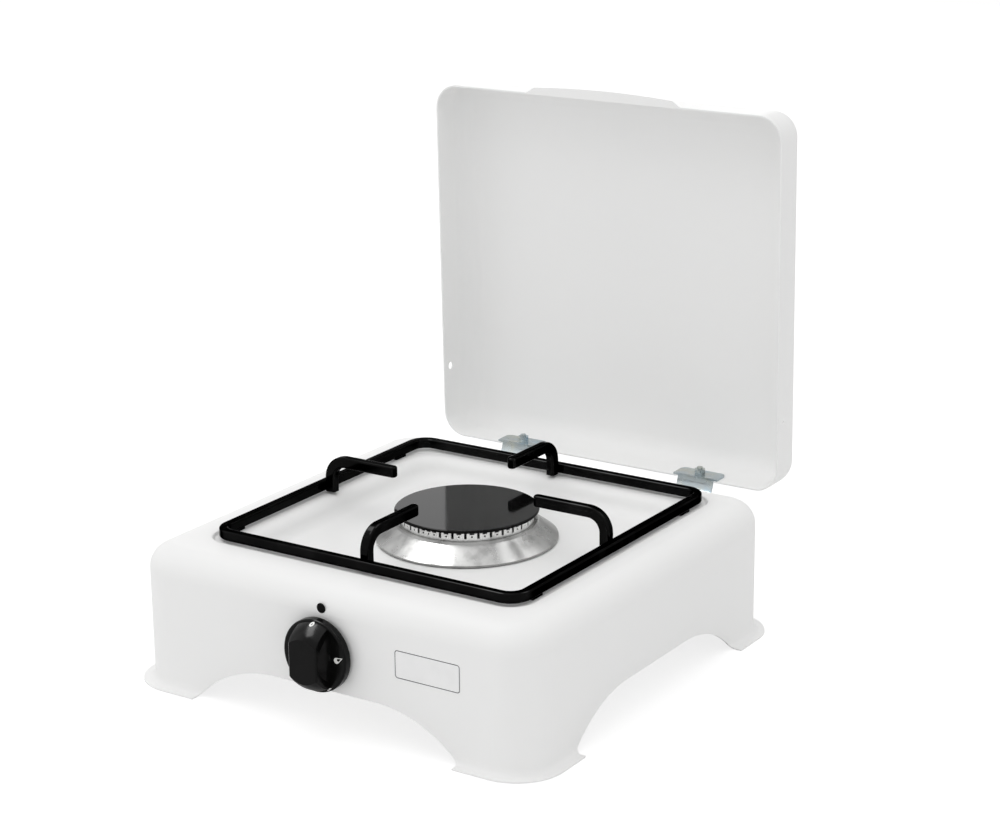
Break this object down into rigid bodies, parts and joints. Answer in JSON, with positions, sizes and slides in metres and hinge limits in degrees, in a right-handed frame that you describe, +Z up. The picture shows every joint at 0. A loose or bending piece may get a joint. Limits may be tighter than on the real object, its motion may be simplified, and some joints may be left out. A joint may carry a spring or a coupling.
{
  "type": "tabletop gas stove",
  "caption": "Tabletop gas stove with one burner, a removable pan support and a hinged lid, fed by a hose from a gas bottle.",
  "frame": {"origin": "middle of the body's outline on the table top that the feet stand on", "axes": "+X to the right seen from the knob's side, +Y to the back where the hinges are, +Z up"},
  "size_m": [0.305, 0.375, 0.3365],
  "materials": {
    "white_enamel": "gloss",
    "black_enamel": "gloss",
    "polished_aluminium": "polished",
    "cast_aluminium": "matt",
    "zinc_steel": "satin",
    "brass": "satin",
    "black_plastic": "gloss"
  },
  "bodies": {
    "stove_body": {"body_shell": "white_enamel", "burner_cup": "cast_aluminium", "burner_screws": "zinc_steel", "burner_skirt": "polished_aluminium", "injector_jet": "brass", "tap_body": "brass", "tap_neck": "brass", "tap_neck_screws": "zinc_steel", "tap_locknut": "zinc_steel", "feed_pipe": "zinc_steel", "inlet_pipe": "zinc_steel", "pipe_nuts": "brass", "hose_nozzle": "brass", "nozzle_locknut": "zinc_steel", "hinge_bracket_left": "zinc_steel", "hinge_bracket_right": "zinc_steel", "bracket_rivets": "zinc_steel", "hinge_pins": "zinc_steel"},
    "lid": {"lid_shell": "white_enamel", "lid_leaf_left": "zinc_steel", "lid_leaf_right": "zinc_steel", "lid_leaf_screws": "zinc_steel", "lid_leaf_nuts": "zinc_steel"},
    "tap_rotor": {"tap_plug": "brass", "tap_spring": "zinc_steel"},
    "knob": {"knob": "black_plastic", "tap_spindle": "zinc_steel"},
    "pan_support": {"pan_support": "black_enamel"},
    "flame_spreader": {"flame_spreader": "polished_aluminium"},
    "burner_cap": {"burner_cap": "black_enamel"}
  },
  "joints": [
    {"name": "lid_hinge", "type": "hinge", "parent": "stove_body", "child": "lid", "pos_m": [0, 0.15, 0.0603], "axis": [1, 0, 0], "range_deg": [0, 89]},
    {"name": "tap_turn", "type": "hinge", "parent": "stove_body", "child": "tap_rotor", "pos_m": [0, -0.12, 0.05], "axis": [0, -1, 0], "range_deg": [0, 180]},
    {"name": "knob_push", "type": "slide", "parent": "tap_rotor", "child": "knob", "axis": [0, 1, 0], "range_m": [0, 0.0025], "stiffness_N_per_m": 2000, "springref_m": -0.001, "deforming": ["tap_spring"]},
    {"name": "pan_support_lift", "type": "slide", "parent": "stove_body", "child": "pan_support", "axis": [0, 0, -1], "range_m": [-0.05, 0]},
    {"name": "flame_spreader_lift", "type": "slide", "parent": "stove_body", "child": "flame_spreader", "axis": [0, 0, -1], "range_m": [-0.04, 0]},
    {"name": "burner_cap_lift", "type": "slide", "parent": "flame_spreader", "child": "burner_cap", "axis": [0, 0, -1], "range_m": [-0.03, 0]}
  ]
}
